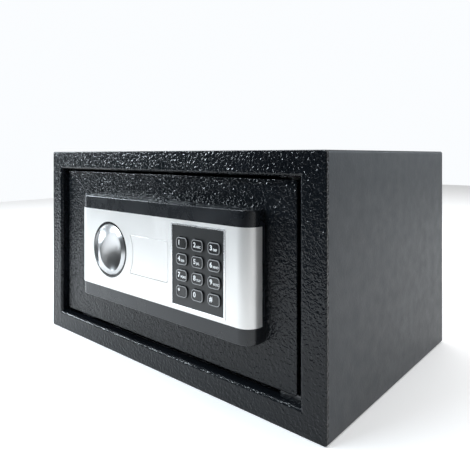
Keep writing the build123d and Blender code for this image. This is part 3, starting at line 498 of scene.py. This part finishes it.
lip_pattern = key_lip()
for name in KEYS:
    spot = middle(name)
    lip = copy_of(lip_pattern)
    stand(lip, spot.x, front_of(name) - RIM_H / 2, spot.z)
    fit(lip, name + "_lip", body_of[name], key_rim_highlight, "key_black")
bpy.data.objects.remove(lip_pattern)

# %% [markdown]
# ## Printed keys
# The legends are white ink on the caps: a digit at the left, and the usual phone letters small at its right.
# Text is a curve in Blender, so it is turned into a mesh before it is stood up and placed.

# %% Key legends
LEGENDS = {"key_1": ("1", ""), "key_2": ("2", "ABC"), "key_3": ("3", "DEF"), "key_4": ("4", "GHI"),
           "key_5": ("5", "JKL"), "key_6": ("6", "MNO"), "key_7": ("7", "PQRS"), "key_8": ("8", "TUV"),
           "key_9": ("9", "WXYZ"), "key_star": ("*", ""), "key_0": ("0", ""), "key_hash": ("#", "")}
DIGIT_SIZE = 5.6 * MM
DIGIT_WEIGHT = 0.12 * MM
DIGIT_PLACE = (-3.0 * MM, 0.1 * MM)
LETTER_SIZE = 2.5 * MM
LETTER_WEIGHT = 0.05 * MM
LETTER_PLACE = (-0.9 * MM, -1.1 * MM)
INK_T = 0.05 * MM


def printed(text, size, weight, at, align):
    """Text drawn flat, centred on its height, and made a mesh. The weight thickens its strokes."""
    alone()
    bpy.ops.object.text_add(location=(0, 0, 0))
    obj = bpy.context.object
    obj.data.body = text
    obj.data.size = size
    obj.data.extrude = INK_T
    obj.data.offset = weight
    obj.data.align_x = align
    obj.data.align_y = "CENTER"
    obj.location = (*at, 0)
    alone(obj)
    bpy.ops.object.convert(target="MESH")
    apply_place(bpy.context.object)
    return bpy.context.object


for name, (digit, letters) in LEGENDS.items():
    spot = middle(name)
    piece = printed(digit, DIGIT_SIZE, DIGIT_WEIGHT, DIGIT_PLACE, "CENTER")
    if letters:
        small = printed(letters, LETTER_SIZE, LETTER_WEIGHT, LETTER_PLACE, "LEFT")
        alone(piece)
        small.select_set(True)
        bpy.ops.object.join()
    tidy_mesh(piece)
    stand(piece, spot.x, front_of(name) - INK_T, spot.z)
    fit(piece, name + "_print", body_of[name], white_ink, "key_black")

# %% [markdown]
# ## The felt on the floor
# A loose mat of grey needle felt lies on the steel floor, so that what is put in doesn't rattle. It is a
# thin slab with its edges softened and two round holes over the anchor holes. Felt shows short random
# fibres, which stretched noise in two directions suggests, and its sheen comes from the shader.

# %% Felt mat
def felt(name, colour):
    material = finish(name, colour, 0.95, Sheen_Weight=0.4, Sheen_Roughness=0.5, Specular_IOR_Level=0.2)
    fibre = pattern(material, 0.0009, detail=4.0, distortion=1.5, stretch=(1, 0.35, 1))
    bump(material, fibre, 0.0006)
    bump(material, pattern(material, 0.0011, detail=4.0, distortion=1.5, stretch=(0.35, 1, 1)), 0.0005)
    tint(material, fibre, [c * 0.6 for c in colour], [c * 1.4 for c in colour])
    return material


MAT_LOW, MAT_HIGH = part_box("floor_mat")
HOLE_X = 0.1
HOLE_R = 9 * MM
MAT_EDGE = 0.8 * MM


def felt_mat():
    size = MAT_HIGH - MAT_LOW
    spot = (MAT_HIGH + MAT_LOW) / 2
    alone()
    bpy.ops.mesh.primitive_cube_add(size=1, location=spot)
    mat = bpy.context.object
    mat.scale = size
    apply_place(mat)
    for side in (-1, 1):
        cut(mat, cylinder(HOLE_R, 4 * size.z, (side * HOLE_X, 0, spot.z), 48))
    bevel(mat, MAT_EDGE, 3)
    tidy_mesh(mat)
    return mat


mat = fit(felt_mat(), "felt_floor_mat", "safe_body", felt("needle_felt", (0.11, 0.112, 0.118)), "felt_grey",
          "floor_mat")

# %% [markdown]
# ## The studio
# A pale floor that glows a little, so that it stays nearly white, and cool lamps round it. A narrow lamp above
# the front and a small one on the far left make the paint's wrinkles glint, most near the top. A card on the
# left gives the knob its highlight, a broad lamp behind on the right lights the side, and a plain white one
# overhead fills the floor. The world is white to the eye and dimmer as a light, darkest in front of the safe,
# so that the blacks stay deep.

# %% Floor, lamps and world
FLOOR_SIZE = 3.4
FLOOR_FRONT = 0.5
FLOOR_GLOW = 0.28
COOL = (0.84, 0.93, 1.0)


def floor():
    alone()
    bpy.ops.mesh.primitive_plane_add(size=FLOOR_SIZE, location=(0, FLOOR_SIZE / 2 - FLOOR_FRONT, 0))
    obj = bpy.context.object
    obj.name = "floor"
    apply_place(obj)
    material = finish("pale_floor", (0.9, 0.9, 0.9), 0.6,
                      Emission_Color=(1, 1, 1, 1), Emission_Strength=FLOOR_GLOW)
    uneven(material, pattern(material, 0.4), 0.55, 0.65)
    dress(obj, material)
    return obj


def lamp(name, spot, aim, width, height, power, colour=(1, 1, 1)):
    data = bpy.data.lights.new(name, "AREA")
    data.shape = "RECTANGLE"
    data.size = width
    data.size_y = height
    data.energy = power
    data.color = colour
    obj = bpy.data.objects.new(name, data)
    obj.location = spot
    obj.rotation_euler = (Vector(aim) - Vector(spot)).to_track_quat("-Z", "Y").to_euler()
    bpy.context.scene.collection.objects.link(obj)
    return obj


def world(seen, dark, bright):
    """White to the camera; as a light, dark in front of the safe and brighter behind it."""
    made = bpy.data.worlds.new("studio")
    bpy.context.scene.world = made
    made.use_nodes = True
    tree = made.node_tree

    def map_range(value, low, high, start=0.0, end=1.0):
        mapped = tree.nodes.new("ShaderNodeMapRange")
        mapped.inputs["From Min"].default_value = start
        mapped.inputs["From Max"].default_value = end
        mapped.inputs["To Min"].default_value = low
        mapped.inputs["To Max"].default_value = high
        tree.links.new(value, mapped.inputs["Value"])
        return mapped

    split = tree.nodes.new("ShaderNodeSeparateXYZ")
    tree.links.new(tree.nodes.new("ShaderNodeTexCoord").outputs["Generated"], split.inputs["Vector"])
    cast = map_range(split.outputs["Y"], dark, bright, -0.7, 0.6)
    path = tree.nodes.new("ShaderNodeLightPath")
    shown = map_range(path.outputs["Is Camera Ray"], 0.0, seen)
    tree.links.new(cast.outputs["Result"], shown.inputs["To Min"])
    background = tree.nodes["Background"]
    background.inputs["Color"].default_value = (0.96, 0.98, 1.0, 1)
    tree.links.new(shown.outputs["Result"], background.inputs["Strength"])


floor()
lamp("raking_lamp", (-0.12, -0.42, 0.62), (0.0, -0.12, 0.14), 0.4, 0.08, 3.6, COOL)
lamp("side_lamp", (1.0, 1.5, 0.7), (0.18, 0.05, 0.1), 1.0, 0.9, 6.0, COOL)
lamp("glint_lamp", (-1.3, -0.8, 0.58), (0, -0.12, 0.15), 0.34, 0.14, 17.0, COOL)
lamp("knob_card", (-0.9, -0.3, 0.2), tuple(KNOB_CENTRE), 0.3, 0.5, 0.5, COOL)
lamp("top_fill", (0.0, 0.6, 1.8), (0, 0.3, 0), 2.4, 1.8, 34.0)
world(1.0, 0.0, 0.42)
bpy.context.scene.view_settings.view_transform = "Standard"
print("studio ready")
